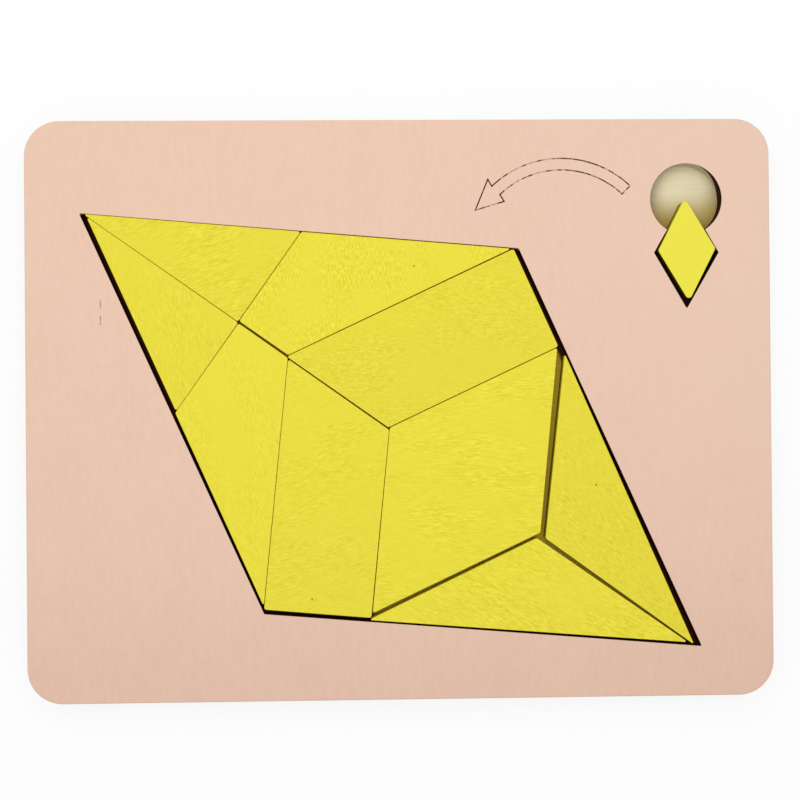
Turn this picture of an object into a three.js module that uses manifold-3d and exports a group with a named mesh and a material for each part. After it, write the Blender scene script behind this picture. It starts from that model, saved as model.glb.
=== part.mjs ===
// Flat wooden tray puzzle: nine loose tiles in a rhombus tray, and a tenth in a small pocket beside it
// Lengths are millimetres, angles are degrees, +Z is up, and the origin is under the middle of the board

import * as THREE from 'three';
import { mergeVertices } from 'three/addons/utils/BufferGeometryUtils.js';
import Module from 'manifold-3d';

// Sheets
const sheetThickness = 4;      // the frame and the tiles are cut from one thickness, so they lie flush
const baseThickness = 4;
const boardCorner = 8.5;       // radius of the board's upright corners

// Rhombus figure that the nine large tiles make together
const figureSide = 104.9;
const figureAngle = 60.8;      // its acute corners, on the long diagonal
const leftCut = 0.497;         // the cut behind the left triangles, as a share of half the long diagonal
const tileRim = 0.3;           // radius of the sanded rims above and below
const tileCorner = 0.12;       // radius left on the corners of a tile's flat face, inside the rim

// Tray that holds the figure
const playAlong = 1.04;        // room past each end of the figure's long diagonal
const playAcross = 0.66;       // room past each end of its short diagonal
const trayFall = 35.3;         // the long diagonal falls to the right by this angle
const pocketCorner = 0.25;     // radius that the cut leaves in the corners of both pockets

// Frame left standing round the tray
const marginLeft = 13.1;
const marginRight = 17.6;
const marginTop = 22.2;
const marginBottom = 12;

// Small pocket and its finger hole
const keySide = 14.5;          // side of the tenth tile, a rhombus
const keyAngle = 58;           // its acute corners
const keyPlay = 1.2;           // the pocket's side is longer by this much
const keyPocketAngle = 60;     // the pocket's acute corners
const keyReach = 0.6;          // the pocket's upper corner lies this far past the hole's centre
const holeDiameter = 17.4;
const holeFromRight = 20.4;    // hole centre to the board's right edge
const holeFromTop = 19.5;      // hole centre to the board's upper edge

// Engraved outline of a curved arrow that points from the hole to the tray
const arrowLeft = 30.4;        // arc centre, to the left of the hole centre
const arrowBelow = 14.4;       // arc centre, below the hole centre
const arrowRadius = 23;        // middle of the shaft
const arrowReach = 43.5;       // the shaft bends this far to each side of upright
const shaftWidth = 2.8;
const headWidth = 6.6;
const headLength = 6.9;
const headSkew = 2.1;          // the inner barb lies this far ahead of the outer one, round the arc centre
const lineWidth = 0.3;
const lineDepth = 0.15;

// Facets
const boardFacets = 16;        // in each corner of the boards
const cornerFacets = 3;        // in each corner of the tiles and pockets
const rimFacets = 2;
const holeFacets = 72;
const arrowFacets = 24;
const cutOver = 1;             // cutters reach this far past the faces that they cut
const weldDistance = 1e-5;     // points closer than this are one point of a solid

const wasm = await Module();
wasm.setup();

const floorHeight = baseThickness;
const topHeight = baseThickness + sheetThickness;
const frameMiddle = baseThickness + sheetThickness / 2;

const boardPaint = { color: 0xe8c4b0, roughness: 0.75, metalness: 0 };
const bareWood = { color: 0xe3d8b6, roughness: 0.8, metalness: 0 };
const tilePaint = { color: 0xeadd42, roughness: 0.6, metalness: 0 };

// Half diagonals of a rhombus: x is the long one, y the short one
function halfDiagonals(side, acuteAngle) {
  const half = THREE.MathUtils.degToRad(acuteAngle / 2);
  return new THREE.Vector2(side * Math.cos(half), side * Math.sin(half));
}

// Corners of a rhombus, anticlockwise from the left end of its long diagonal
function rhombusCorners(half) {
  return [
    new THREE.Vector2(-half.x, 0),
    new THREE.Vector2(0, -half.y),
    new THREE.Vector2(half.x, 0),
    new THREE.Vector2(0, half.y),
  ];
}

// Corner of an anticlockwise outline after both its edges move inwards by a distance
function insetCorner(before, corner, after, distance) {
  const arriving = corner.clone().sub(before).normalize();
  const leaving = after.clone().sub(corner).normalize();
  const halfTurn = arriving.dot(leaving) + 1;
  const inward = new THREE.Vector2(-arriving.y - leaving.y, arriving.x + leaving.x);
  return corner.clone().addScaledVector(inward, distance / halfTurn);
}

// Outline of straight edges, trimmed all round and with its corners rounded
function roundedOutline(corners, trim, radius) {
  const shape = new THREE.Shape();
  const count = corners.length;
  corners.forEach((corner, index) => {
    const before = corners[(index + count - 1) % count];
    const after = corners[(index + 1) % count];
    const centre = insetCorner(before, corner, after, trim + radius);
    const start = corner.clone().sub(before).angle() - Math.PI / 2;
    const end = after.clone().sub(corner).angle() - Math.PI / 2;
    shape.absarc(centre.x, centre.y, radius, start, end, false);
  });
  return shape;
}

// Upright prism of an outline between two heights
function prism(shape, low, high, facets) {
  const options = { depth: high - low, bevelEnabled: false, curveSegments: facets };
  return new THREE.ExtrudeGeometry(shape, options).translate(0, 0, low);
}

// Tile standing on z = 0, with rounded rims above and below
function tileGeometry(corners, trim = 0) {
  const shape = roundedOutline(corners, trim, tileCorner + tileRim);
  const options = {
    depth: sheetThickness - 2 * tileRim,
    curveSegments: cornerFacets,
    bevelSegments: rimFacets,
    bevelThickness: tileRim,
    bevelSize: tileRim,
    bevelOffset: -tileRim,
  };
  return new THREE.ExtrudeGeometry(shape, options).translate(0, 0, tileRim);
}

// Closed solid that can be cut, from a closed geometry
function solidOf(geometry) {
  const bare = geometry.clone();
  bare.deleteAttribute('normal');
  bare.deleteAttribute('uv');
  const merged = mergeVertices(bare, weldDistance);
  const vertProperties = new Float32Array(merged.attributes.position.array);
  const triVerts = new Uint32Array(merged.index.array);
  return new wasm.Manifold(new wasm.Mesh({ numProp: 3, vertProperties, triVerts }));
}

function geometryOf(solid) {
  const mesh = solid.getMesh();
  const geometry = new THREE.BufferGeometry();
  geometry.setAttribute('position', new THREE.BufferAttribute(mesh.vertProperties, 3));
  geometry.setIndex(new THREE.BufferAttribute(mesh.triVerts, 1));
  geometry.computeVertexNormals();
  return geometry;
}

function namedMesh(name, geometry, finish) {
  const mesh = new THREE.Mesh(geometry, new THREE.MeshStandardMaterial(finish));
  mesh.name = name;
  return mesh;
}

// Places that the driving dimensions lead to
const figureHalf = halfDiagonals(figureSide, figureAngle);
const trayHalf = figureHalf.clone().add(new THREE.Vector2(playAlong, playAcross));
const trayAngle = -THREE.MathUtils.degToRad(trayFall);
const middle = new THREE.Vector2(0, 0);
const turnedTray = rhombusCorners(trayHalf).map((corner) => corner.rotateAround(middle, trayAngle));
const trayBox = new THREE.Box2().setFromPoints(turnedTray);
const boardBox = new THREE.Box2(
  trayBox.min.clone().sub(new THREE.Vector2(marginLeft, marginBottom)),
  trayBox.max.clone().add(new THREE.Vector2(marginRight, marginTop)),
);
const boardSize = boardBox.getSize(new THREE.Vector2());
const trayCentre = boardBox.getCenter(new THREE.Vector2()).negate();
const holeCentre = boardSize.clone().divideScalar(2).sub(new THREE.Vector2(holeFromRight, holeFromTop));
const keyHalf = halfDiagonals(keySide, keyAngle);
const keyPocketHalf = halfDiagonals(keySide + keyPlay, keyPocketAngle);
const keyPocketCentre = holeCentre.clone().sub(new THREE.Vector2(0, keyPocketHalf.x - keyReach));
const arrowCentre = holeCentre.clone().sub(new THREE.Vector2(arrowLeft, arrowBelow));

// Rounded rectangle of both boards
function boardOutline() {
  const half = boardSize.clone().divideScalar(2);
  const corners = [
    new THREE.Vector2(-half.x, -half.y),
    new THREE.Vector2(half.x, -half.y),
    half,
    new THREE.Vector2(-half.x, half.y),
  ];
  return roundedOutline(corners, 0, boardCorner);
}

// Rhombus cutter that goes right through the frame, its long diagonal turned from +X
function rhombusCutter(half, centre, angle) {
  const corners = rhombusCorners(half).map((corner) => corner.rotateAround(middle, angle).add(centre));
  const shape = roundedOutline(corners, 0, pocketCorner);
  return solidOf(prism(shape, floorHeight - cutOver, topHeight + cutOver, cornerFacets));
}

function fingerHoleCutter() {
  const radius = holeDiameter / 2;
  const height = sheetThickness + 2 * cutOver;
  const cylinder = new THREE.CylinderGeometry(radius, radius, height, holeFacets);
  cylinder.rotateX(Math.PI / 2);
  return solidOf(cylinder.translate(holeCentre.x, holeCentre.y, frameMiddle));
}

// Point of the arrow, by its distance from the arc centre and its angle to the left of upright
function arrowPoint(radius, lean) {
  const angle = Math.PI / 2 + THREE.MathUtils.degToRad(lean);
  return new THREE.Vector2(radius * Math.cos(angle), radius * Math.sin(angle)).add(arrowCentre);
}

// Engraved line between two points, with square ends that close the corners
function straightLine(from, to) {
  const run = to.clone().sub(from);
  const depth = lineDepth + cutOver;
  const box = new THREE.BoxGeometry(run.length() + lineWidth, lineWidth, depth);
  box.rotateZ(run.angle());
  const centre = from.clone().lerp(to, 0.5);
  return solidOf(box.translate(centre.x, centre.y, topHeight - lineDepth + depth / 2));
}

// Engraved line along the shaft
function curvedLine(radius) {
  const reach = THREE.MathUtils.degToRad(arrowReach);
  const start = Math.PI / 2 - reach;
  const end = Math.PI / 2 + reach;
  const shape = new THREE.Shape();
  shape.absarc(arrowCentre.x, arrowCentre.y, radius + lineWidth / 2, start, end, false);
  shape.absarc(arrowCentre.x, arrowCentre.y, radius - lineWidth / 2, end, start, true);
  return solidOf(prism(shape, topHeight - lineDepth, topHeight + cutOver, arrowFacets));
}

// All the engraved lines of the arrow, from its square tail round its head
function arrowLines() {
  const inner = arrowRadius - shaftWidth / 2;
  const outer = arrowRadius + shaftWidth / 2;
  const innerBarb = arrowPoint(arrowRadius - headWidth / 2, arrowReach + headSkew / 2);
  const outerBarb = arrowPoint(arrowRadius + headWidth / 2, arrowReach - headSkew / 2);
  const headBase = arrowPoint(arrowRadius, arrowReach);
  const ahead = headBase.clone().sub(arrowCentre).rotateAround(middle, Math.PI / 2).setLength(headLength);
  const tip = headBase.clone().add(ahead);
  return [
    curvedLine(inner),
    curvedLine(outer),
    straightLine(arrowPoint(inner, -arrowReach), arrowPoint(outer, -arrowReach)),
    straightLine(arrowPoint(outer, arrowReach), outerBarb),
    straightLine(outerBarb, tip),
    straightLine(tip, innerBarb),
    straightLine(innerBarb, arrowPoint(inner, arrowReach)),
  ];
}

function baseBoard() {
  return namedMesh('base_board', prism(boardOutline(), 0, floorHeight, boardFacets), bareWood);
}

function frameBoard() {
  const cutters = [
    rhombusCutter(trayHalf, trayCentre, trayAngle),
    rhombusCutter(keyPocketHalf, keyPocketCentre, Math.PI / 2),
    fingerHoleCutter(),
    ...arrowLines(),
  ];
  const blank = solidOf(prism(boardOutline(), floorHeight, topHeight, boardFacets));
  const frame = cutters.reduce((rest, cutter) => rest.subtract(cutter), blank);
  return namedMesh('frame_board', geometryOf(frame), boardPaint);
}

// Where the figure is cut, as shares of its half diagonals
const cut = {
  leftTip: [-1, 0],
  topTip: [0, 1],
  bottomTip: [0, -1],
  rightTip: [1, 0],
  topLeft: [-leftCut, 1 - leftCut],
  bottomLeft: [-leftCut, leftCut - 1],
  farLeft: [-leftCut, 0],
  nearLeft: [-1 / 3, 0],
  centre: [0, 0],
  topRight: [1 / 4, 3 / 4],
  bottomRight: [1 / 4, -3 / 4],
  farRight: [1 / 2, 0],
};

// Corners of each tile, anticlockwise, and how it happens to lie in the tray: shifted along and across by
// shares of the play there, and turned by a share of the angle that the play makes over the figure's side.
// Its trim is how far it was cut and sanded inside its share of the figure
const tiles = [
  {
    name: 'left_triangle_upper',
    corners: ['leftTip', 'farLeft', 'topLeft'],
    lie: { along: -0.36, across: 0.49, turn: -0.05 },
    trim: 0.06,
  },
  {
    name: 'left_triangle_lower',
    corners: ['leftTip', 'bottomLeft', 'farLeft'],
    lie: { along: -0.04, across: 0.77, turn: -0.17 },
    trim: 0.23,
  },
  {
    name: 'long_quad_upper',
    corners: ['topLeft', 'farLeft', 'nearLeft', 'topTip'],
    lie: { along: -0.56, across: 0.59, turn: 0.00 },
    trim: 0.26,
  },
  {
    name: 'long_quad_lower',
    corners: ['farLeft', 'bottomLeft', 'bottomTip', 'nearLeft'],
    lie: { along: -0.40, across: 0.45, turn: -0.46 },
    trim: 0.21,
  },
  {
    name: 'broad_quad_upper',
    corners: ['nearLeft', 'centre', 'topRight', 'topTip'],
    lie: { along: -0.97, across: 0.02, turn: -0.18 },
    trim: 0.10,
  },
  {
    name: 'broad_quad_lower',
    corners: ['nearLeft', 'bottomTip', 'bottomRight', 'centre'],
    lie: { along: -0.59, across: -0.08, turn: -0.41 },
    trim: 0.16,
  },
  {
    name: 'big_rhombus',
    corners: ['centre', 'bottomRight', 'farRight', 'topRight'],
    lie: { along: -1.17, across: 0.41, turn: -0.16 },
    trim: 0.34,
  },
  {
    name: 'right_triangle_upper',
    corners: ['farRight', 'rightTip', 'topRight'],
    lie: { along: 0.23, across: -0.72, turn: -1.35 },
    trim: 0.16,
  },
  {
    name: 'right_triangle_lower',
    corners: ['bottomRight', 'rightTip', 'farRight'],
    lie: { along: -1.55, across: -1.75, turn: 0.38 },
    trim: 0.14,
  },
];
const keyLie = { right: 0.12, up: 0.6, turn: 0.41 };

function trayTile({ name, corners, lie, trim }) {
  const points = corners.map((key) => new THREE.Vector2(...cut[key]).multiply(figureHalf));
  const centre = points.reduce((sum, point) => sum.add(point), new THREE.Vector2());
  centre.divideScalar(points.length);
  const geometry = tileGeometry(points.map((point) => point.sub(centre)), trim);
  const mesh = namedMesh(name, geometry, tilePaint);
  mesh.position.set(centre.x + lie.along * playAlong, centre.y + lie.across * playAcross, 0);
  mesh.rotation.z = lie.turn * Math.atan2(playAlong, figureSide);
  return mesh;
}

// Large tiles, in the tray's own directions
function trayTiles() {
  const group = new THREE.Group();
  group.position.set(trayCentre.x, trayCentre.y, floorHeight);
  group.rotation.z = trayAngle;
  group.add(...tiles.map(trayTile));
  return group;
}

// Tenth tile, pushed up its pocket until its tip reaches over the finger hole
function keyTile() {
  const mesh = namedMesh('small_rhombus', tileGeometry(rhombusCorners(keyHalf)), tilePaint);
  const shift = new THREE.Vector2(keyLie.right, keyLie.up).multiplyScalar(keyPlay);
  const place = keyPocketCentre.clone().add(shift);
  mesh.position.set(place.x, place.y, floorHeight);
  mesh.rotation.z = Math.PI / 2 + keyLie.turn * Math.atan2(keyPlay, keySide);
  return mesh;
}

const puzzle = new THREE.Group();
puzzle.add(baseBoard(), frameBoard(), trayTiles(), keyTile());

export default puzzle;
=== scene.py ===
import math
from collections import namedtuple

import bmesh
import bpy
import numpy as np
from mathutils import Euler, Matrix, Vector
from mathutils.geometry import delaunay_2d_cdt


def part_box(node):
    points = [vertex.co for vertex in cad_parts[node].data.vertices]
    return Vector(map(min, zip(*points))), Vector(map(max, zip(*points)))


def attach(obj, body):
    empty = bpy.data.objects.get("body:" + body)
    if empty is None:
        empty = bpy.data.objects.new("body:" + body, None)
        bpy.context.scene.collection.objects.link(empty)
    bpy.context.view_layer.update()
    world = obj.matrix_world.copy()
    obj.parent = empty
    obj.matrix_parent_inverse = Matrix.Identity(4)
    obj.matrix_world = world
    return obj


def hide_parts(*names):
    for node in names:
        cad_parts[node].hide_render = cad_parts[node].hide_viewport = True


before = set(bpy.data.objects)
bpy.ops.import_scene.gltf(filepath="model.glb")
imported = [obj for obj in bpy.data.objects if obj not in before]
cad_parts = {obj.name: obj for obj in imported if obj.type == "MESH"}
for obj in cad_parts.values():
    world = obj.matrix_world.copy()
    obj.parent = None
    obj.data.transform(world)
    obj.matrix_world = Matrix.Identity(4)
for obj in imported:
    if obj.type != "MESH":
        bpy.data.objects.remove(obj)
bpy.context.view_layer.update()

bl_info = {
    "name": "Rhombus tray puzzle",
    "version": (1, 0, 0),
    "blender": (4, 5, 0),
    "location": "3D View > Sidebar > Puzzle",
    "description": "Finishes a wooden tray puzzle: two glued boards and ten loose tiles",
    "category": "Object",
}

MM = 0.001
TOUCH = 1e-6             # metres; two places closer than this are one place
WELD_DIGITS = 7          # decimals of a metre that are kept when corners are joined
LONG_EDGE = 2 * MM       # straight edges are longer than this, and the facets of rounded corners are shorter
EDGE_STRIP = 1.4         # a rounded edge and the level strip beside it are this wide, in radii of the edge
SHARP_EDGE = math.radians(40)       # faces that meet at a larger angle are shaded apart
SHARP_CORNER = math.radians(30)     # angle of the tiles' sharpest corners
SQUARE_CORNER = math.radians(90)
STEEP = "steep"          # attribute: 0 on level faces, 1 on upright ones, between on rounded edges

FRAME_NODE = "frame_board"
BASE_NODE = "base_board"
TRAY_BODY = "tray"

# Specular level of the finishes
PAINT_GLOSS = 0.12
STAIN_GLOSS = 0.03
BURNT_GLOSS = 0.04
PLYWOOD_GLOSS = 0.02

# Grain of each tile: its angle from +X in degrees, the width of its strokes in millimetres, how many times
# longer than wide they are, how strongly they show, the share of warm figure, the tile's tone, and how brown
# its sides are together with how dark the painted shade low on its sides is
Grain = namedtuple("Grain", "angle width stretch strength figure tone browning")
LEMON_TILE = "small_rhombus"
TILE_GRAIN = {
    "left_triangle_upper": Grain(20, 0.27, 6.8, 1.06, 0.25, 0.99, 0.3),
    "left_triangle_lower": Grain(104, 0.29, 6.1, 0.73, 0.2, 1, 0.3),
    "long_quad_upper": Grain(88, 0.25, 4.7, 1.47, 0.6, 1.03, 1),
    "long_quad_lower": Grain(108, 0.3, 4.1, 0.67, 0.15, 1.035, 0.2),
    "broad_quad_upper": Grain(-4, 0.33, 3.4, 0.81, 0.2, 0.99, 1),
    "broad_quad_lower": Grain(17, 0.27, 6.8, 0.92, 0.25, 1.02, 0.4),
    "big_rhombus": Grain(1, 0.29, 6.8, 0.98, 0.3, 1.035, 0.8),
    "right_triangle_upper": Grain(-42, 0.27, 6.1, 1.06, 0.3, 1, 1),
    "right_triangle_lower": Grain(-26, 0.27, 6.8, 1.24, 0.3, 1.04, 0.1),
    "small_rhombus": Grain(60, 0.3, 5.4, 0.1, 0, 1.06, 1),
}
TILE_SHIFT = 0.37        # metres; each tile's grain lies this far from the last one's in the noise

# Dark specks in the stain of three tiles, in millimetres on the board
TILE_SPECKS = {
    "long_quad_upper": (3.4, 34.6),
    "broad_quad_lower": (-21.8, -45.5),
    "right_triangle_upper": (47.1, -18.7),
}

# Where the engraving beam burnt more or less than elsewhere: middle and radius in millimetres, and how much
LINE_BURNS = (
    (20.4, 52.8, 5.5, 0.14),
    (25, 50.8, 2.2, 0.16),
    (21.9, 49.4, 2.6, -0.14),
    (30.1, 56.1, 6, -0.09),
    (38, 58, 6, -0.05),
)
FAINT_LINE = 0.14        # share of scorched paint where the beam barely marked it

# Fine upright split in the wood under the paint, and a smudge on the paint
SPLIT_X = -72 * MM
SPLIT_LOW, SPLIT_HIGH = 20.6 * MM, 27.2 * MM
SPLIT_FADE = 0.6 * MM
SMUDGE_X, SMUDGE_Y = 80.7 * MM, -41.4 * MM

# Directions on the board, from the middle of the finger hole
TO_RIGHT = (1, 0)
TO_FAR_SIDE = (-0.6, 0.8)
TO_POCKET = (0.2, -0.98)


class BoardSettings(bpy.types.PropertyGroup):
    """Sizes and colours of the two boards"""

    outer_edge: bpy.props.FloatProperty(
        name="Outer edge", description="Radius of the boards' sanded outer edges",
        default=0.35 * MM, min=0.05 * MM, max=1.5 * MM, unit="LENGTH")
    pocket_edge: bpy.props.FloatProperty(
        name="Pocket edge", description="Radius of the crisp edges that the laser leaves round the pockets",
        default=0.06 * MM, min=0.02 * MM, max=0.5 * MM, unit="LENGTH")
    groove_edge: bpy.props.FloatProperty(
        name="Groove edge", description="Radius of the edges of the engraved lines",
        default=0.03 * MM, min=0.01 * MM, max=0.1 * MM, unit="LENGTH")
    glued_edge: bpy.props.FloatProperty(
        name="Glued edge", description="Radius of the edges where the boards meet",
        default=0.08 * MM, min=0.02 * MM, max=0.5 * MM, unit="LENGTH")
    paint: bpy.props.FloatVectorProperty(
        name="Paint", description="Pale pink paint of the frame", subtype="COLOR",
        default=(0.818, 0.567, 0.44), min=0, max=1)
    # Also the colour that darkens the paint along the board's lower edge
    deep_paint: bpy.props.FloatVectorProperty(
        name="Deep paint", description="Paint where the wood's pores take up more of it", subtype="COLOR",
        default=(0.70, 0.45, 0.34), min=0, max=1)
    # Paler paint towards the upper right of the board
    upper_right_paint: bpy.props.FloatVectorProperty(
        name="Thin paint", description="Paint where it lies thinner, towards the upper right", subtype="COLOR",
        default=(0.83, 0.60, 0.485), min=0, max=1)
    split: bpy.props.FloatVectorProperty(
        name="Split", description="Dark wood in the fine split", subtype="COLOR",
        default=(0.20, 0.10, 0.07), min=0, max=1)
    smudge: bpy.props.FloatVectorProperty(
        name="Smudge", description="Faint smudge on the paint", subtype="COLOR",
        default=(0.52, 0.36, 0.29), min=0, max=1)
    wood: bpy.props.FloatVectorProperty(
        name="Bare wood", description="Pale bare plywood of the base", subtype="COLOR",
        default=(0.84, 0.755, 0.52), min=0, max=1)
    late_wood: bpy.props.FloatVectorProperty(
        name="Late wood", description="Darker lines in the bare plywood", subtype="COLOR",
        default=(0.68, 0.57, 0.34), min=0, max=1)
    # Yellow-olive colour laid over the tray floor, and beside the tenth tile in the finger hole
    floor_yellow: bpy.props.FloatVectorProperty(
        name="Rubbed floor", description="Tray floor that the stained tiles rubbed off on", subtype="COLOR",
        default=(0.62, 0.44, 0.004), min=0, max=1)
    scorched: bpy.props.FloatVectorProperty(
        name="Scorched line", description="Paint scorched by the engraving beam", subtype="COLOR",
        default=(0.060, 0.0145, 0.0015), min=0, max=1)
    # Also the colour of the painted shade on the floor of the finger hole and beside the tenth tile
    brown: bpy.props.FloatVectorProperty(
        name="Browned edge", description="Plywood edge browned by the laser", subtype="COLOR",
        default=(0.13, 0.065, 0.026), min=0, max=1)
    # Also, doubled, the colour of the painted shade on the floor along the pocket walls
    char: bpy.props.FloatVectorProperty(
        name="Char", description="Wood burnt by the laser, on the cut walls", subtype="COLOR",
        default=(0.034, 0.0085, 0.0026), min=0, max=1)
    pale_wall: bpy.props.FloatVectorProperty(
        name="Pale wall", description="Far side of the finger hole's wall, hardly burnt", subtype="COLOR",
        default=(0.60, 0.50, 0.36), min=0, max=1)
    tan_wall: bpy.props.FloatVectorProperty(
        name="Tan wall", description="Upper wall of the tray, hardly burnt near the paint", subtype="COLOR",
        default=(0.70, 0.46, 0.25), min=0, max=1)


class TileSettings(bpy.types.PropertyGroup):
    """Sizes and colours of the loose tiles"""

    rim: bpy.props.FloatProperty(
        name="Rim", description="Radius of the sanded rims above and below",
        default=0.12 * MM, min=0.05 * MM, max=0.14 * MM, unit="LENGTH")
    corner: bpy.props.FloatProperty(
        name="Corner", description="Radius of the sharpest upright corners",
        default=0.22 * MM, min=0.2 * MM, max=2 * MM, unit="LENGTH")
    square_corner: bpy.props.FloatProperty(
        name="Square corner", description="Radius of the square upright corners",
        default=0.6 * MM, min=0.2 * MM, max=2 * MM, unit="LENGTH")
    worn_corner: bpy.props.FloatProperty(
        name="Worn corner", description="Radius of the tenth tile's upright corners, rounded by fingers",
        default=0.85 * MM, min=0.2 * MM, max=2 * MM, unit="LENGTH")
    light: bpy.props.FloatVectorProperty(
        name="Light stain", description="Yellow stain on the dense strokes of the grain", subtype="COLOR",
        default=(0.965, 0.855, 0.095), min=0, max=1)
    deep: bpy.props.FloatVectorProperty(
        name="Deep stain", description="Yellow stain on the open strokes of the grain", subtype="COLOR",
        default=(0.605, 0.51, 0.009), min=0, max=1)
    warm: bpy.props.FloatVectorProperty(
        name="Warm figure", description="Stain where the wood's figure takes up more of it", subtype="COLOR",
        default=(0.77, 0.605, 0.028), min=0, max=1)
    speck: bpy.props.FloatVectorProperty(
        name="Speck", description="Dark specks in the stain", subtype="COLOR",
        default=(0.12, 0.08, 0.01), min=0, max=1)
    toasted: bpy.props.FloatVectorProperty(
        name="Toasted side", description="Stained rims and sides browned by the laser", subtype="COLOR",
        default=(0.42, 0.33, 0.004), min=0, max=1)
    # Colour of the painted shade low on the tiles' sides and round the tenth tile's near point
    browned: bpy.props.FloatVectorProperty(
        name="Browned side", description="Lower part of the sides, where the beam lingered", subtype="COLOR",
        default=(0.11, 0.075, 0.003), min=0, max=1)
    lemon: bpy.props.FloatVectorProperty(
        name="Lemon stain", description="Smoother and paler stain of the tenth tile", subtype="COLOR",
        default=(0.85, 0.773, 0.077), min=0, max=1)


class StageSettings(bpy.types.PropertyGroup):
    """Floor, light and camera"""

    floor_size: bpy.props.FloatProperty(
        name="Floor size", description="Side of the square floor", default=6, min=1, max=20, unit="LENGTH")
    floor_colour: bpy.props.FloatVectorProperty(
        name="Floor colour", description="Nearly white paper of the floor", subtype="COLOR",
        default=(0.97, 0.97, 0.97), min=0, max=1)
    floor_roughness: bpy.props.FloatProperty(
        name="Floor roughness", description="Roughness of the floor's paper", default=0.9, min=0, max=1)
    dome: bpy.props.FloatProperty(
        name="Dome", description="Radiance of the soft light from all sides", default=0.67, min=0, max=5)
    lamp_power: bpy.props.FloatProperty(
        name="Lamp", description="Power of the large soft lamp over the upper edge of the board",
        default=0.66, min=0, max=100, unit="POWER")
    lamp_place: bpy.props.FloatVectorProperty(
        name="Lamp place", description="Middle of the lamp",
        default=(-0.03, 0.13, 0.36), subtype="TRANSLATION")
    lamp_size: bpy.props.FloatProperty(
        name="Lamp size", description="Side of the square lamp",
        default=0.35, min=0.01, max=5, unit="LENGTH")
    view_angle: bpy.props.FloatProperty(
        name="View angle", description="Field of view of the camera",
        default=math.radians(34.21), min=0.05, max=2, subtype="ANGLE")
    camera_lean: bpy.props.FloatVectorProperty(
        name="Camera lean", description="How far the camera leans from looking straight down",
        default=(math.radians(0.31), math.radians(-1.41), math.radians(-0.49)), subtype="EULER")
    camera_place: bpy.props.FloatVectorProperty(
        name="Camera place", description="Place of the camera over the board's top, before it leans",
        default=(-0.24 * MM, 2.26 * MM, 313.7 * MM), subtype="TRANSLATION")


class Socket:
    """Output of a shader node: Python's operators on it add Math nodes, and add() makes any other node."""

    def __init__(self, output):
        self.output = output
        self.tree = output.id_data

    @staticmethod
    def add(tree, kind, settings=None, inputs=None, output=0):
        """Adds a node of a kind, sets it up, then gives its sockets their values or links."""
        node = tree.nodes.new(kind)
        for name, value in (settings or {}).items():
            setattr(node, name, value)
        for key, value in (inputs or {}).items():
            if isinstance(value, Socket):
                tree.links.new(value.output, node.inputs[key])
            else:
                node.inputs[key].default_value = value
        return Socket(node.outputs[output])

    def math(self, operation, *terms):
        return Socket.add(self.tree, "ShaderNodeMath", {"operation": operation}, dict(enumerate(terms)))

    def __add__(self, other):
        return self.math("ADD", self, other)

    __radd__ = __add__

    def __sub__(self, other):
        return self.math("SUBTRACT", self, other)

    def __rsub__(self, other):
        return self.math("SUBTRACT", other, self)

    def __mul__(self, other):
        return self.math("MULTIPLY", self, other)

    __rmul__ = __mul__

    def __truediv__(self, other):
        return self.math("DIVIDE", self, other)

    def __rtruediv__(self, other):
        return self.math("DIVIDE", other, self)

    def __abs__(self):
        return self.math("ABSOLUTE", self)


def step(value, low, high):
    """0 at low, 1 at high, and a smooth change between them."""
    inputs = {"Value": value, "From Min": low, "From Max": high, "To Min": 0.0, "To Max": 1.0}
    return Socket.add(value.tree, "ShaderNodeMapRange", {"interpolation_type": "SMOOTHSTEP"}, inputs)


def band(value, low, high, fade):
    """0 outside low and high, and 1 between them but for a smooth change at both ends."""
    return step(value, low, low + fade) * step(value, high, high - fade)


def blend(under, over, share):
    """Colour under, with a share of the colour over laid on it."""
    settings = {"data_type": "RGBA", "clamp_factor": True}
    return Socket.add(share.tree, "ShaderNodeMix", settings, {0: share, 6: under, 7: over}, 2)


def opaque(colour, tone=1.0):
    """Colour times a tone, with a full alpha."""
    return (colour[0] * tone, colour[1] * tone, colour[2] * tone, 1.0)


def object_place(tree):
    return Socket.add(tree, "ShaderNodeTexCoord", output="Object")


def steepness(tree):
    return Socket.add(tree, "ShaderNodeAttribute", {"attribute_name": STEEP}, output="Fac")


def along(place, angle=0, stretch=1, shift=0.0):
    """Coordinates whose X runs along the grain at an angle in degrees, drawn out along it."""
    inputs = {
        "Vector": place,
        "Location": (shift, shift, shift),
        "Rotation": (0, 0, math.radians(angle)),
        "Scale": (stretch, 1, 1),
    }
    return Socket.add(place.tree, "ShaderNodeMapping", {"vector_type": "TEXTURE"}, inputs)


def noise(place, size, detail=2.0, roughness=0.5, distortion=0.0):
    """Noise from 0 to 1 whose blotches are about as wide as a size in metres."""
    inputs = {
        "Vector": place, "Scale": 1 / size, "Detail": detail, "Roughness": roughness,
        "Distortion": distortion,
    }
    return Socket.add(place.tree, "ShaderNodeTexNoise", {"noise_dimensions": "3D"}, inputs)


def axis(place, name):
    return Socket.add(place.tree, "ShaderNodeSeparateXYZ", inputs={"Vector": place}, output=name)


def distance(place, centre):
    settings = {"operation": "DISTANCE"}
    return Socket.add(place.tree, "ShaderNodeVectorMath", settings, {0: place, 1: centre}, "Value")


def reach(place, start, direction):
    """How far a place lies from a start along a direction of the plan."""
    settings = {"operation": "DOT_PRODUCT"}
    inputs = {0: place, 1: (*direction, 0)}
    projected = Socket.add(place.tree, "ShaderNodeVectorMath", settings, inputs, "Value")
    return projected - float(start @ direction)


def bump(height, depth, strength):
    """Normal of a relief whose height from 0 to 1 stands for a depth in metres."""
    inputs = {"Height": height, "Distance": depth, "Strength": strength}
    return Socket.add(height.tree, "ShaderNodeBump", inputs=inputs)


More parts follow.
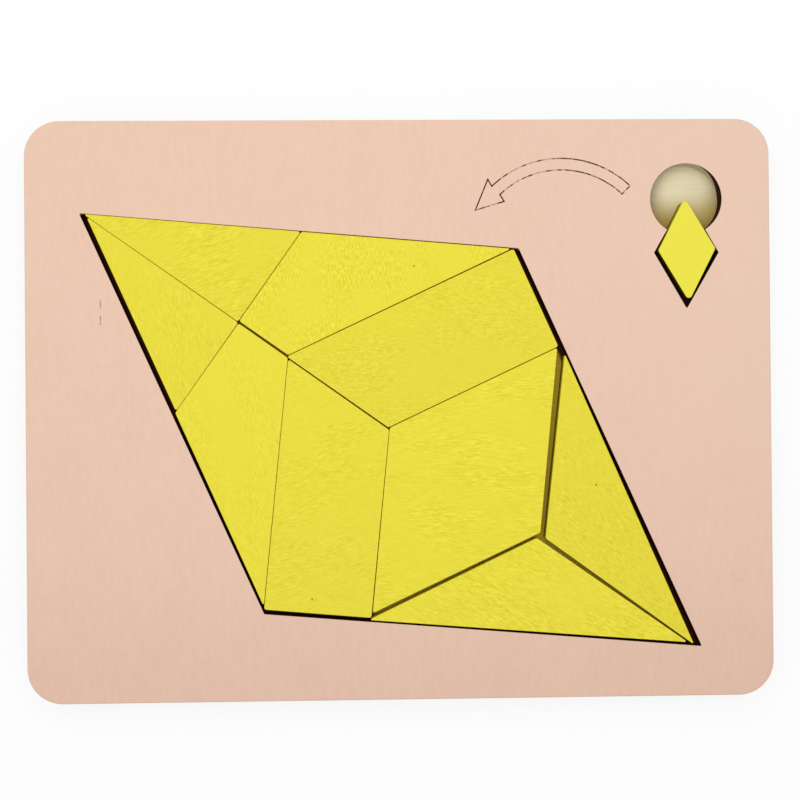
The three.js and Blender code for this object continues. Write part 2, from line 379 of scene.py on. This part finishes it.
def new_finish(name, gloss):
    """New material with a Principled shader of a low gloss."""
    material = bpy.data.materials.new(name)
    material.use_nodes = True
    tree = material.node_tree
    shader = tree.nodes["Principled BSDF"]
    shader.inputs["Specular IOR Level"].default_value = gloss
    return material, tree, shader


def connect(shader, colour, roughness, relief):
    for name, value in (("Base Color", colour), ("Roughness", roughness), ("Normal", relief)):
        value.tree.links.new(value.output, shader.inputs[name])


def stained_face(node, grain, settings, place, shift):
    """Colour, strokes and height of a tile's grain: light strokes on deep stain, warm figure, open pores."""
    width = grain.width * MM
    deep = opaque(settings.deep, grain.tone)
    strokes = noise(along(place, grain.angle, grain.stretch, shift), width, roughness=0.6)
    patches = noise(along(place, grain.angle, 2, shift), 9 * MM, detail=1)
    figure = noise(along(place, grain.angle, 2.5, shift), 5 * MM, roughness=0.6, distortion=0.6)
    fibres = noise(along(place, grain.angle, grain.stretch * 1.7, shift + 1), width * 0.8, roughness=0.6)
    contrast = step(patches, 0.35, 0.62) * 0.9 + 0.4
    open_pores = step(fibres, 0.54, 0.7) * contrast
    lightness = (strokes - 0.5) * contrast * (grain.strength * 0.95) + 0.56
    colour = blend(deep, opaque(settings.light, grain.tone), lightness)
    warmth = step(figure, 0.45, 0.75) * (0.3 * grain.figure)
    colour = blend(colour, opaque(settings.warm, grain.tone), warmth)
    colour = blend(colour, deep, open_pores * (0.42 * grain.strength))
    if node == LEMON_TILE:
        colour = blend(colour, opaque(settings.lemon), patches * 0.1 + 0.85)
    return colour, strokes, strokes - open_pores * grain.strength


def browned_and_shaded_sides(node, grain, settings, place, shift, colour):
    """Colour with browned rims and sides over it, and painted shade that darkens the sides downwards and round
    the tenth tile's near point.
    """
    steep = steepness(place.tree)
    low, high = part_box(node)
    depth = high.z - axis(place, "Z")
    burn = noise(along(place, shift=shift), 1.5 * MM)
    on_rim = step(steep, 0.05, 0.4) * (burn * 0.5 + 0.3) * grain.browning
    colour = blend(colour, opaque(settings.toasted), on_rim)
    on_side = step(steep, 0.6, 1) * (burn * 0.4 + 0.3) * (0.4 + 0.6 * grain.browning)
    colour = blend(colour, opaque(settings.toasted), on_side)
    # Painted shade: the sides grow darker downwards
    lower = step(depth, 0.2 * MM, 3.2 * MM) * step(steep, 0.9, 1)
    colour = blend(colour, opaque(settings.browned), lower * (burn * 0.5 + 0.5) * grain.browning)
    # Painted shade on the tenth tile's sides towards its near point
    if node == LEMON_TILE:
        middle = (low.y + high.y) / 2
        painted_near_point_shade = step(axis(place, "Y"), middle, middle - 0.5 * MM)
        colour = blend(colour, opaque(settings.browned, 0.4), painted_near_point_shade * step(steep, 0.75, 1) * 0.9)
    return colour


def yellow_stain(node, grain, settings):
    """Thin yellow stain on one tile: its grain, a speck on some tiles, browned rims and sides, and painted
    shade low on the sides.
    """
    material, tree, shader = new_finish("yellow_stain_" + node, STAIN_GLOSS)
    place = object_place(tree)
    shift = list(TILE_GRAIN).index(node) * TILE_SHIFT
    colour, strokes, height = stained_face(node, grain, settings, place, shift)
    if node in TILE_SPECKS:
        x, y = TILE_SPECKS[node]
        speck = step(distance(place, (x * MM, y * MM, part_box(node)[1].z)), 0.3 * MM, 0.12 * MM)
        colour = blend(colour, opaque(settings.speck), speck * 0.8)
    colour = browned_and_shaded_sides(node, grain, settings, place, shift, colour)
    connect(shader, colour, strokes * 0.2 + 0.5, bump(height, 0.012 * MM, 0.5))
    return material


def paint_layers(place, settings):
    """Colour and pore height of the pink paint: upright pores of the wood under it, and soft clouds.

    The paint is a little darker along the lower edge of the board, and paler towards its upper right.
    """
    x, y = axis(place, "X"), axis(place, "Y")
    darker_low = step(y, -30 * MM, -65 * MM)
    paler_upper_right = step(x, 20 * MM, 90 * MM) * step(y, -40 * MM, 10 * MM)
    weave = noise(along(place, 90, 2.8), 1.1 * MM)
    pores = noise(along(place, 90, 9, 0.3), 0.5 * MM, roughness=0.6)
    clouds = noise(along(place, 90, 2, 0.7), 11 * MM)
    share = (weave - 0.5) * 0.5 + step(pores, 0.55, 0.8) * 0.1 + (clouds - 0.5) * 0.25 + 0.08
    colour = blend(opaque(settings.paint), opaque(settings.deep_paint), share + darker_low * 0.27)
    return blend(colour, opaque(settings.upper_right_paint), paler_upper_right * 0.42), weave + pores


def wood_layers(place, settings):
    """Colour of the bare plywood and height of its lines: faint level lines, and clouds."""
    lines = noise(along(place, stretch=16), 0.8 * MM, detail=3, roughness=0.6)
    clouds = noise(along(place, stretch=3, shift=0.4), 6 * MM)
    share = step(lines, 0.4, 0.8) * 0.3 + (clouds - 0.5) * 0.5
    return blend(opaque(settings.wood), opaque(settings.late_wood), share), lines


def edge_layers(place, settings, low, high):
    """Colour of a plywood edge cut by a laser: browned veneers, the crossed middle one darkest."""
    height = (axis(place, "Z") - low) / (high - low)
    wobble = (noise(along(place), 9 * MM, detail=1) - 0.5) * 0.06
    middle = band(height + wobble, 0.31, 0.69, 0.04)
    streaks = noise(along(place, shift=0.5), 0.7 * MM, detail=3, roughness=0.6)
    colour = blend(opaque(settings.brown), opaque(settings.brown, 1.8), step(streaks, 0.4, 0.7))
    return blend(colour, opaque(settings.char), middle * 0.45 + step(streaks, 0.6, 0.3) * 0.3)


def pink_paint(settings):
    """Pale pink paint on the frame's face, with a fine dashed split in the wood and one faint smudge."""
    material, tree, shader = new_finish("pink_paint", PAINT_GLOSS)
    place = object_place(tree)
    colour, pores = paint_layers(place, settings)
    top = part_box(FRAME_NODE)[1].z
    dashes = step(noise(along(place, 90, shift=0.2), 0.9 * MM, detail=1), 0.42, 0.55)
    beside = abs(axis(place, "X") - SPLIT_X)
    split = step(beside, 0.18 * MM, 0.06 * MM) * band(axis(place, "Y"), SPLIT_LOW, SPLIT_HIGH, SPLIT_FADE)
    colour = blend(colour, opaque(settings.split), split * dashes * 0.8)
    smudge = step(distance(place, (SMUDGE_X, SMUDGE_Y, top)), 2.2 * MM, 0.4 * MM)
    broken = step(noise(place, 1.2 * MM), 0.35, 0.7)
    colour = blend(colour, opaque(settings.smudge), smudge * broken * 0.35)
    connect(shader, colour, pores * 0.08 + 0.58, bump(pores, 0.01 * MM, 0.4))
    return material


def burnt_wall(settings, hole, tray_walls):
    """Walls of the pockets, burnt black by the laser right up to the paint.

    They are burnt less on the far side of the finger hole, and near the paint on the tray's upper wall.
    """
    material, tree, shader = new_finish("burnt_wall", BURNT_GLOSS)
    place = object_place(tree)
    low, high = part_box(FRAME_NODE)
    depth = high.z - axis(place, "Z")
    paint, pores = paint_layers(place, settings)
    streaks = noise(along(place), 0.8 * MM, detail=3, roughness=0.6)
    char = blend(opaque(settings.char), opaque(settings.brown, 0.5), step(streaks, 0.5, 0.8) * 0.4)
    far = reach(place, hole.centre, TO_FAR_SIDE) / hole.radius + depth / (high.z - low.z)
    in_hole = step(reach(place, hole.centre, TO_RIGHT), -1.1 * hole.radius, -hole.radius)
    char = blend(char, opaque(settings.pale_wall), step(far, 0.42, 0.68) * in_hole * 0.95)
    upper_wall = min(tray_walls, key=lambda wall: wall.into[1])
    on_upper_wall = step(reach(place, *upper_wall), 0.4 * MM, 0.2 * MM) * (1 - in_hole)
    char = blend(char, opaque(settings.tan_wall), on_upper_wall * step(depth, 2.6 * MM, 1.2 * MM) * 0.95)
    colour = blend(paint, char, step(steepness(tree), 0.1, 0.5))
    connect(shader, colour, streaks * 0.2 + 0.7, bump(streaks + pores, 0.03 * MM, 0.6))
    return material


def engraved_line(settings):
    """Shallow laser lines: burnt dark, and broken where the beam barely marked the paint."""
    material, tree, shader = new_finish("engraved_line", BURNT_GLOSS)
    place = object_place(tree)
    paint, pores = paint_layers(place, settings)
    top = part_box(FRAME_NODE)[1].z
    breaks = noise(place, 1.5 * MM, roughness=0.7)
    for x, y, radius, more in LINE_BURNS:
        from_middle = distance(place, (x * MM, y * MM, top))
        breaks = breaks + step(from_middle, radius * MM, 0.5 * radius * MM) * more
    cut = step(top - axis(place, "Z"), 0.0, 0.03 * MM)
    burnt = step(breaks, 0.35, 0.55) * (1 - FAINT_LINE) + FAINT_LINE
    colour = blend(paint, opaque(settings.scorched), burnt * cut)
    connect(shader, colour, breaks * 0.2 + 0.7, bump(pores, 0.02 * MM, 0.5))
    return material


def cut_edge(name, node, settings, face_layers):
    """Outside of a board: the face's finish goes round the sanded edge, partly worn, to browned plywood."""
    material, tree, shader = new_finish(name, PAINT_GLOSS)
    place = object_place(tree)
    steep = steepness(tree)
    low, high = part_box(node)
    face, _ = face_layers(place, settings)
    scuffs = noise(along(place, shift=0.9), 2.5 * MM, detail=3, roughness=0.6)
    wear = step(scuffs, 0.5, 0.75) * step(steep, 0.1, 0.4)
    colour = blend(face, opaque(settings.wood, 0.9), wear * 0.5)
    colour = blend(colour, edge_layers(place, settings, low.z, high.z), step(steep, 0.75, 1))
    fibres = noise(along(place, stretch=6), 0.6 * MM)
    connect(shader, colour, fibres * 0.2 + 0.6, bump(fibres, 0.03 * MM, 0.5))
    return material


def from_walls(place, walls):
    """Distance into a pocket from the nearest of its straight walls, less than 0 outside it."""
    distances = [reach(place, *wall) for wall in walls]
    nearest = distances[0]
    for other in distances[1:]:
        nearest = nearest.math("MINIMUM", nearest, other)
    return nearest


def bare_plywood(settings, tray_walls, pocket_walls, hole):
    """Bare pale plywood, yellow-olive in the tray, with painted shade: black by the pocket walls, darker round
    the finger hole's bright middle, and yellower and darker beside the tenth tile.
    """
    material, tree, shader = new_finish("bare_plywood", PLYWOOD_GLOSS)
    place = object_place(tree)
    centre, radius = hole
    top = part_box(BASE_NODE)[1].z
    on_top = step(axis(place, "Z"), top - 0.5 * MM, top - 0.2 * MM)
    colour, lines = wood_layers(place, settings)
    # Painted shade: the floor of the finger hole grows darker away from an unshaded spot a little above its
    # middle
    unshaded_spot = (centre[0] + 0.08 * radius, centre[1] + 0.35 * radius, top)
    from_spot = distance(place, unshaded_spot)
    painted_hole_shade = step(from_spot, 0.45 * radius, 1.5 * radius) * step(from_spot, 3.7 * radius, 3.4 * radius)
    colour = blend(colour, opaque(settings.brown), painted_hole_shade * on_top * 0.95)
    # Beside the tenth tile the floor is tinted yellow, then darkened with painted shade
    by_the_tile = step(reach(place, centre, TO_POCKET), -0.4 * radius, 0.55 * radius)
    tint_and_shade_by_tile = by_the_tile * step(from_spot, 2.2 * radius, 1.6 * radius) * on_top
    colour = blend(colour, opaque(settings.floor_yellow), tint_and_shade_by_tile * 0.5)
    colour = blend(colour, opaque(settings.brown), tint_and_shade_by_tile * 0.16)
    # Painted shade: a black band on the floor along the walls of both pockets, where the narrow gaps lie in
    # shade
    gap_shade_width = (noise(place, 1.5 * MM) * 0.6 + 0.7) * MM
    for walls in (tray_walls, pocket_walls):
        inside = from_walls(place, walls)
        in_pocket = step(inside, -0.3 * MM, -0.1 * MM) * on_top
        # The tray floor is coloured yellow-olive
        if walls is tray_walls:
            colour = blend(colour, opaque(settings.floor_yellow), in_pocket * (lines * 0.2 + 0.9) * 0.92)
        painted_gap_shade = step(inside / gap_shade_width, 1.8, 0.9) * in_pocket
        colour = blend(colour, opaque(settings.char, 2.0), painted_gap_shade)
    fibres = noise(along(place, stretch=18, shift=0.8), 0.6 * MM)
    connect(shader, colour, fibres * 0.15 + 0.65, bump(fibres, 0.02 * MM, 0.5))
    return material


def welded(node):
    """Points of a CAD node and the corners of its triangles, with corners at one place shared."""
    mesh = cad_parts[node].data
    places = np.empty(len(mesh.vertices) * 3, np.float32)
    mesh.vertices.foreach_get("co", places)
    corners = np.empty(len(mesh.loops), np.int32)
    mesh.loops.foreach_get("vertex_index", corners)
    rounded_places = places.astype(float).reshape(-1, 3).round(WELD_DIGITS)
    points, shared = np.unique(rounded_places, axis=0, return_inverse=True)
    return points, shared.ravel()[corners].reshape(-1, 3)


def enclosed_area(loop):
    """Area inside an outline, positive where it runs anticlockwise."""
    after = np.roll(loop, -1, axis=0)
    return 0.5 * np.sum(loop[:, 0] * after[:, 1] - loop[:, 1] * after[:, 0])


def outlines(node, height):
    """Outlines of a CAD node's level top faces at a height, the one round the largest area first.

    An edge that only one triangle of those faces has lies on an outline, with the solid on its left, and
    leads to the next such edge.
    """
    points, triangles = welded(node)
    level = triangles[np.all(np.abs(points[triangles, 2] - height) < TOUCH, axis=1)]
    edges = np.concatenate([level[:, [0, 1]], level[:, [1, 2]], level[:, [2, 0]]]).tolist()
    known = {(start, end) for start, end in edges}
    onward = {start: end for start, end in edges if (end, start) not in known}
    loops = []
    while onward:
        start, after = onward.popitem()
        loop = [start]
        while after != start:
            loop.append(after)
            after = onward.pop(after)
        loops.append(points[loop, :2])
    return sorted(loops, key=lambda loop: -abs(enclosed_area(loop)))


def straight_edges(loop):
    """Starts of an outline's long straight edges, and the runs to their ends."""
    run = np.roll(loop, -1, axis=0) - loop
    straight = np.linalg.norm(run, axis=1) > LONG_EDGE
    return loop[straight], run[straight]


def outward(loop):
    """Step out of the solid at each point of an outline that moves both its edges out by one unit.

    With n the unit normals of the edges that arrive and leave, it is (n1 + n2) / (1 + n1 . n2).
    """
    leaving = np.roll(loop, -1, axis=0) - loop
    normals = np.stack([leaving[:, 1], -leaving[:, 0]], axis=1)
    normals /= np.linalg.norm(normals, axis=1, keepdims=True)
    arriving = np.roll(normals, 1, axis=0)
    return (normals + arriving) / (1 + np.sum(normals * arriving, axis=1, keepdims=True))


def rounded_edge(radius, steps=5):
    """Rows of (out, up, steepness) from a level strip round a quarter circle to the upright."""
    turn = np.linspace(0, math.pi / 2, steps + 1)
    arc = np.stack([radius * (np.sin(turn) - 1), radius * (np.cos(turn) - 1), np.sin(turn)], axis=1)
    return np.concatenate([[[-EDGE_STRIP * radius, 0, 0]], arc])


def wall_profile(top, bottom, top_round, bottom_round):
    """Rows of (out, height, steepness) down a wall: rounded edge, upright face, rounded edge."""
    upper = rounded_edge(top_round) + [0, top, 0]
    lower = rounded_edge(bottom_round)[::-1] * [1, -1, 1] + [0, bottom, 0]
    return np.concatenate([upper, lower])


# Piece of a surface: its points, its faces, the steepness at each point, and the name of its finish
Part = namedtuple("Part", "points faces steep finish")


def wall_part(loop, profile, finish):
    """Profile carried along an outline: point (i, j) is loop[j] + out[i] * step[j], at height[i]."""
    plan = loop[None] + profile[:, None, :1] * outward(loop)[None]
    rows, columns = plan.shape[:2]
    heights = np.repeat(profile[:, 1], columns).reshape(rows, columns, 1)
    first = np.arange(rows * columns).reshape(rows, columns)
    after = np.roll(first, -1, axis=1)
    faces = np.stack([first[:-1], first[1:], after[1:], after[:-1]], axis=-1)
    points = np.concatenate([plan, heights], axis=2).reshape(-1, 3)
    return Part(points, faces.reshape(-1, 4), np.repeat(profile[:, 2], columns), finish)


def level_part(loops, height, finish, facing=1):
    """Triangles that fill the plan between outlines at a height, facing up, or down where facing is -1.

    They are the Delaunay triangles of all the outlines whose middles lie inside an odd number of outlines.
    """
    plan = np.concatenate(loops)
    sizes = np.array([len(loop) for loop in loops])
    starts = np.repeat(np.cumsum(sizes) - sizes, sizes)
    own = np.arange(len(plan)) - starts
    edges = np.stack([np.arange(len(plan)), starts + (own + 1) % np.repeat(sizes, sizes)], axis=1)
    found = delaunay_2d_cdt([Vector(point) for point in plan / MM], edges.tolist(), [], 0, TOUCH)
    points = np.array([tuple(point) for point in found[0]]) * MM
    triangles = np.array(found[2])
    middles = points[triangles].mean(axis=1)
    (x0, y0), (x1, y1) = plan[edges[:, 0]].T, plan[edges[:, 1]].T
    passes = (y0 > middles[:, 1:]) != (y1 > middles[:, 1:])
    rise = np.where(y1 == y0, 1, y1 - y0)
    crossing = x0 + (middles[:, 1:] - y0) * (x1 - x0) / rise
    inside = np.sum(passes & (middles[:, :1] < crossing), axis=1) % 2 == 1
    triangles = triangles[inside]
    ahead, across = (points[triangles[:, corner]] - points[triangles[:, 0]] for corner in (1, 2))
    turn = ahead[:, 0] * across[:, 1] - ahead[:, 1] * across[:, 0]
    triangles = np.where((turn * facing > 0)[:, None], triangles, triangles[:, ::-1])
    heights = np.full((len(points), 1), height)
    return Part(np.concatenate([points, heights], axis=1), triangles, np.zeros(len(points)), finish)


def solid_parts(loop, low, high, bottom_round, top_round, wall_finish="face"):
    """Parts of an upright solid with one outline: its wall and its two faces."""
    profile = wall_profile(high, low, top_round, bottom_round)
    steps_out = outward(loop)
    top = level_part([loop + profile[0, 0] * steps_out], high, "face")
    under = level_part([loop + profile[-1, 0] * steps_out], low, "face", -1)
    return [wall_part(loop, profile, wall_finish), top, under]


def straight_corners(node):
    """Corners of a tile's plan, anticlockwise: where its neighbouring straight edges would meet."""
    points, _ = welded(node)
    middle = points[:, 2].mean()
    widest = points[points[:, 2] < middle, 2].max()
    ring = np.unique(points[np.abs(points[:, 2] - widest) < TOUCH, :2], axis=0)
    from_centre = ring - ring.mean(axis=0)
    ring = ring[np.argsort(np.arctan2(from_centre[:, 1], from_centre[:, 0]))]
    start, run = straight_edges(ring)
    after, next_run = np.roll(start, -1, axis=0), np.roll(run, -1, axis=0)
    gap = after - start
    share = (gap[:, 0] * next_run[:, 1] - gap[:, 1] * next_run[:, 0]) / (
        run[:, 0] * next_run[:, 1] - run[:, 1] * next_run[:, 0])
    return start + share[:, None] * run


def rounded_outline(corners, sharp, square, steps=7):
    """Outline whose corners are arcs: centre + radius * normal, with the normals turning evenly round each.

    The radius grows evenly with the corner's angle, from the sharp radius through the square one and on.
    """
    arriving = corners - np.roll(corners, 1, axis=0)
    leaving = np.roll(arriving, -1, axis=0)
    start = np.arctan2(arriving[:, 1], arriving[:, 0]) - math.pi / 2
    end = np.arctan2(leaving[:, 1], leaving[:, 0]) - math.pi / 2
    sweep = (end - start) % (2 * math.pi)
    opening = (math.pi - sweep - SHARP_CORNER) / (SQUARE_CORNER - SHARP_CORNER)
    radius = (sharp + (square - sharp) * opening)[:, None]
    turn = start[:, None] + sweep[:, None] * np.linspace(0, 1, steps + 1)
    normals = np.stack([np.cos(turn), np.sin(turn)], axis=-1)
    first, last = normals[:, 0], normals[:, -1]
    inset = (first + last) / (1 + np.sum(first * last, axis=1, keepdims=True))
    centres = corners - radius * inset
    return (centres[:, None] + radius[:, None] * normals).reshape(-1, 2)


# Straight wall of a pocket: where it starts, and its unit normal into the pocket
Wall = namedtuple("Wall", "start into")


def walls_of(pocket, count):
    """The longest straight walls of a pocket."""
    starts, runs = straight_edges(pocket)
    lengths = np.linalg.norm(runs, axis=1)
    into = np.stack([runs[:, 1], -runs[:, 0]], axis=1) / lengths[:, None]
    longest = np.argsort(-lengths)[:count]
    return [Wall(starts[index], into[index]) for index in longest]


Hole = namedtuple("Hole", "centre radius")


def finger_hole(small_pocket):
    """Round hole at the upper end of the small pocket's outline."""
    left, right = small_pocket[:, 0].min(), small_pocket[:, 0].max()
    radius = (right - left) / 2
    return Hole(np.array([(left + right) / 2, small_pocket[:, 1].max() - radius]), radius)


def put_piece(name, parts, finishes, body, node):
    """Mesh piece of several parts that rides on a body and stands for a CAD node.

    The finishes are materials under the names that the parts give.
    """
    counts = np.cumsum([0, *[len(part.points) for part in parts]])
    faces = [face for part, count in zip(parts, counts) for face in (part.faces + count).tolist()]
    mesh = bpy.data.meshes.new(name)
    mesh.from_pydata(np.concatenate([part.points for part in parts]).tolist(), [], faces)
    steep = mesh.attributes.new(STEEP, "FLOAT", "POINT")
    steep.data.foreach_set("value", np.concatenate([part.steep for part in parts]).astype(np.float32))
    order = list(finishes)
    numbers = np.concatenate([np.full(len(part.faces), order.index(part.finish)) for part in parts])
    mesh.polygons.foreach_set("material_index", numbers.astype(np.int32))
    for material in finishes.values():
        mesh.materials.append(material)
    joined = bmesh.new()
    joined.from_mesh(mesh)
    bmesh.ops.remove_doubles(joined, verts=joined.verts, dist=TOUCH)
    joined.to_mesh(mesh)
    joined.free()
    mesh.shade_smooth()
    mesh.set_sharp_from_angle(angle=SHARP_EDGE)
    piece = bpy.data.objects.new(name, mesh)
    bpy.context.scene.collection.objects.link(piece)
    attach(piece, body)
    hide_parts(node)


class PUZZLE_OT_base_board(bpy.types.Operator):
    """Makes the bare plywood base that the frame is glued on"""

    bl_idname = "puzzle.base_board"
    bl_label = "Base board"

    def execute(self, context):
        settings = context.scene.puzzle_boards
        low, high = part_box(BASE_NODE)
        loop = outlines(BASE_NODE, high.z)[0]
        _, tray, small_pocket, *_ = outlines(FRAME_NODE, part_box(FRAME_NODE)[1].z)
        hole = finger_hole(small_pocket)
        finishes = {
            "face": bare_plywood(settings, walls_of(tray, 4), walls_of(small_pocket, 2), hole),
            "edge": cut_edge("base_edge", BASE_NODE, settings, wood_layers),
        }
        parts = solid_parts(loop, low.z, high.z, settings.outer_edge, settings.glued_edge, "edge")
        put_piece("plywood_base", parts, finishes, TRAY_BODY, BASE_NODE)
        return {"FINISHED"}


class PUZZLE_OT_frame_board(bpy.types.Operator):
    """Makes the painted frame with its two pockets, finger hole and engraved arrow"""

    bl_idname = "puzzle.frame_board"
    bl_label = "Frame board"

    def execute(self, context):
        settings = context.scene.puzzle_boards
        low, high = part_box(FRAME_NODE)
        board, tray, small_pocket, *lines = outlines(FRAME_NODE, high.z)
        groove = np.unique(welded(FRAME_NODE)[0][:, 2])[-2]
        finishes = {
            "face": pink_paint(settings),
            "pocket": burnt_wall(settings, finger_hole(small_pocket), walls_of(tray, 4)),
            "line": engraved_line(settings),
            "edge": cut_edge("frame_edge", FRAME_NODE, settings, paint_layers),
        }
        sides = (
            (board, settings.outer_edge, "edge"),
            (tray, settings.pocket_edge, "pocket"),
            (small_pocket, settings.pocket_edge, "pocket"),
        )
        parts = []
        top_loops = []
        bottom_loops = []
        for loop, radius, finish in sides:
            profile = wall_profile(high.z, low.z, radius, settings.glued_edge)
            parts.append(wall_part(loop, profile, finish))
            top_loops.append(loop + profile[0, 0] * outward(loop))
            bottom_loops.append(loop + profile[-1, 0] * outward(loop))
        groove_profile = rounded_edge(settings.groove_edge) + [0, high.z, 0]
        groove_profile = np.concatenate([groove_profile, [[0, groove, 1]]])
        for loop in lines:
            parts.append(wall_part(loop, groove_profile, "line"))
            top_loops.append(loop + groove_profile[0, 0] * outward(loop))
        parts.append(level_part(top_loops, high.z, "face"))
        parts.append(level_part(lines, groove, "line"))
        parts.append(level_part(bottom_loops, low.z, "pocket", -1))
        put_piece("painted_frame", parts, finishes, TRAY_BODY, FRAME_NODE)
        return {"FINISHED"}


class PUZZLE_OT_tiles(bpy.types.Operator):
    """Makes the ten loose tiles, each where it lies"""

    bl_idname = "puzzle.tiles"
    bl_label = "Loose tiles"

    def execute(self, context):
        settings = context.scene.puzzle_tiles
        for node, grain in TILE_GRAIN.items():
            low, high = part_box(node)
            radii = settings.corner, settings.square_corner
            if node == LEMON_TILE:
                radii = settings.worn_corner, settings.worn_corner
            loop = rounded_outline(straight_corners(node), *radii)
            parts = solid_parts(loop, low.z, high.z, settings.rim, settings.rim)
            finishes = {"face": yellow_stain(node, grain, settings)}
            put_piece(node + "_tile", parts, finishes, node, node)
        return {"FINISHED"}


class PUZZLE_OT_stage(bpy.types.Operator):
    """Makes the white floor, the light and the camera straight above"""

    bl_idname = "puzzle.stage"
    bl_label = "Stage"

    floor_gap: bpy.props.FloatProperty(
        name="Floor gap", description="Gap under the board", default=0.05 * MM, min=0, unit="LENGTH")
    white_share: bpy.props.FloatProperty(
        name="White share", description="Share of plain white in what the camera sees of the floor",
        default=0.85, min=0, max=1)
    fade_start: bpy.props.FloatProperty(
        name="Fade start", description="Distance from the middle where the floor starts to fade to white",
        default=0.3, min=0.2, unit="LENGTH")
    fade_end: bpy.props.FloatProperty(
        name="Fade end", description="Distance from the middle where the floor is plain white",
        default=1.5, min=0.3, unit="LENGTH")

    def execute(self, context):
        settings = context.scene.puzzle_stage
        self.make_floor(context, settings)
        self.make_world(context, settings)
        self.make_lamp(context, settings)
        self.make_camera(context, settings)
        context.scene.view_settings.view_transform = "Standard"
        return {"FINISHED"}

    def seen_directly(self, tree):
        """1 for a ray from the camera, or one that a mirror or glass sends on."""
        path = [Socket.add(tree, "ShaderNodeLightPath", output=name)
                for name in ("Is Camera Ray", "Is Glossy Ray", "Is Transmission Ray")]
        return path[0].math("MAXIMUM", path[0].math("MAXIMUM", path[0], path[1]), path[2])

    def make_floor(self, context, settings):
        half = settings.floor_size / 2
        corners = np.array([[-half, -half], [half, -half], [half, half], [-half, half]])
        points = np.concatenate([corners, np.full((4, 1), -self.floor_gap)], axis=1)
        mesh = bpy.data.meshes.new("white_floor")
        mesh.from_pydata(points.tolist(), [], [[0, 1, 2, 3]])
        material, tree, shader = new_finish("white_floor", PAINT_GLOSS)
        shader.inputs["Base Color"].default_value = opaque(settings.floor_colour)
        shader.inputs["Roughness"].default_value = settings.floor_roughness
        white = Socket.add(tree, "ShaderNodeEmission", inputs={"Strength": 1.0})
        far = step(distance(object_place(tree), (0, 0, 0)), self.fade_start, self.fade_end)
        share = self.seen_directly(tree) * (far * (1 - self.white_share) + self.white_share)
        inputs = {0: share, 1: Socket(shader.outputs[0]), 2: white}
        seen = Socket.add(tree, "ShaderNodeMixShader", inputs=inputs)
        tree.links.new(seen.output, tree.nodes["Material Output"].inputs["Surface"])
        mesh.materials.append(material)
        floor = bpy.data.objects.new("white_floor", mesh)
        context.scene.collection.objects.link(floor)

    def make_world(self, context, settings):
        world = bpy.data.worlds.new("soft_dome")
        world.use_nodes = True
        context.scene.world = world
        tree = world.node_tree
        white = {"Color": (1, 1, 1, 1), "Strength": 1.0}
        dome = Socket.add(tree, "ShaderNodeBackground", inputs={**white, "Strength": settings.dome})
        plain = Socket.add(tree, "ShaderNodeBackground", inputs=white)
        inputs = {0: self.seen_directly(tree), 1: dome, 2: plain}
        seen = Socket.add(tree, "ShaderNodeMixShader", inputs=inputs)
        tree.links.new(seen.output, tree.nodes["World Output"].inputs["Surface"])

    def make_lamp(self, context, settings):
        light = bpy.data.lights.new("soft_lamp", "AREA")
        light.shape = "SQUARE"
        light.size = settings.lamp_size
        light.energy = settings.lamp_power
        lamp = bpy.data.objects.new("soft_lamp", light)
        lamp.location = settings.lamp_place
        lamp.rotation_euler = (-lamp.location).to_track_quat("-Z", "Y").to_euler()
        lamp.visible_camera = False
        context.scene.collection.objects.link(lamp)

    def make_camera(self, context, settings):
        data = bpy.data.cameras.new("camera")
        data.angle = settings.view_angle
        camera = bpy.data.objects.new("camera", data)
        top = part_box(FRAME_NODE)[1].z
        lean = Euler(settings.camera_lean, "ZYX").to_matrix().to_4x4()
        place = Matrix.Translation(settings.camera_place)
        camera.matrix_world = Matrix.Translation((0, 0, top)) @ lean @ place
        context.scene.collection.objects.link(camera)
        context.scene.camera = camera


# Settings by the name under which the scene holds them
SETTINGS = {"puzzle_boards": BoardSettings, "puzzle_tiles": TileSettings, "puzzle_stage": StageSettings}
OPERATORS = (PUZZLE_OT_base_board, PUZZLE_OT_frame_board, PUZZLE_OT_tiles, PUZZLE_OT_stage)


class PUZZLE_PT_sidebar(bpy.types.Panel):
    """Sidebar panel with the settings and the steps that make the puzzle"""

    bl_label = "Rhombus tray puzzle"
    bl_idname = "PUZZLE_PT_sidebar"
    bl_space_type = "VIEW_3D"
    bl_region_type = "UI"
    bl_category = "Puzzle"

    def draw(self, context):
        for group_name, group_class in SETTINGS.items():
            box = self.layout.box()
            for name in group_class.__annotations__:
                box.prop(getattr(context.scene, group_name), name)
        for operator in OPERATORS:
            self.layout.operator(operator.bl_idname)


CLASSES = (*SETTINGS.values(), *OPERATORS, PUZZLE_PT_sidebar)


def register():
    for cls in CLASSES:
        bpy.utils.register_class(cls)
    for name, group_class in SETTINGS.items():
        setattr(bpy.types.Scene, name, bpy.props.PointerProperty(type=group_class))


def unregister():
    for name in SETTINGS:
        delattr(bpy.types.Scene, name)
    for cls in reversed(CLASSES):
        bpy.utils.unregister_class(cls)


def main():
    register()
    bpy.ops.puzzle.stage()
    bpy.ops.puzzle.base_board()
    bpy.ops.puzzle.frame_board()
    bpy.ops.puzzle.tiles()


if __name__ == "__main__":
    main()
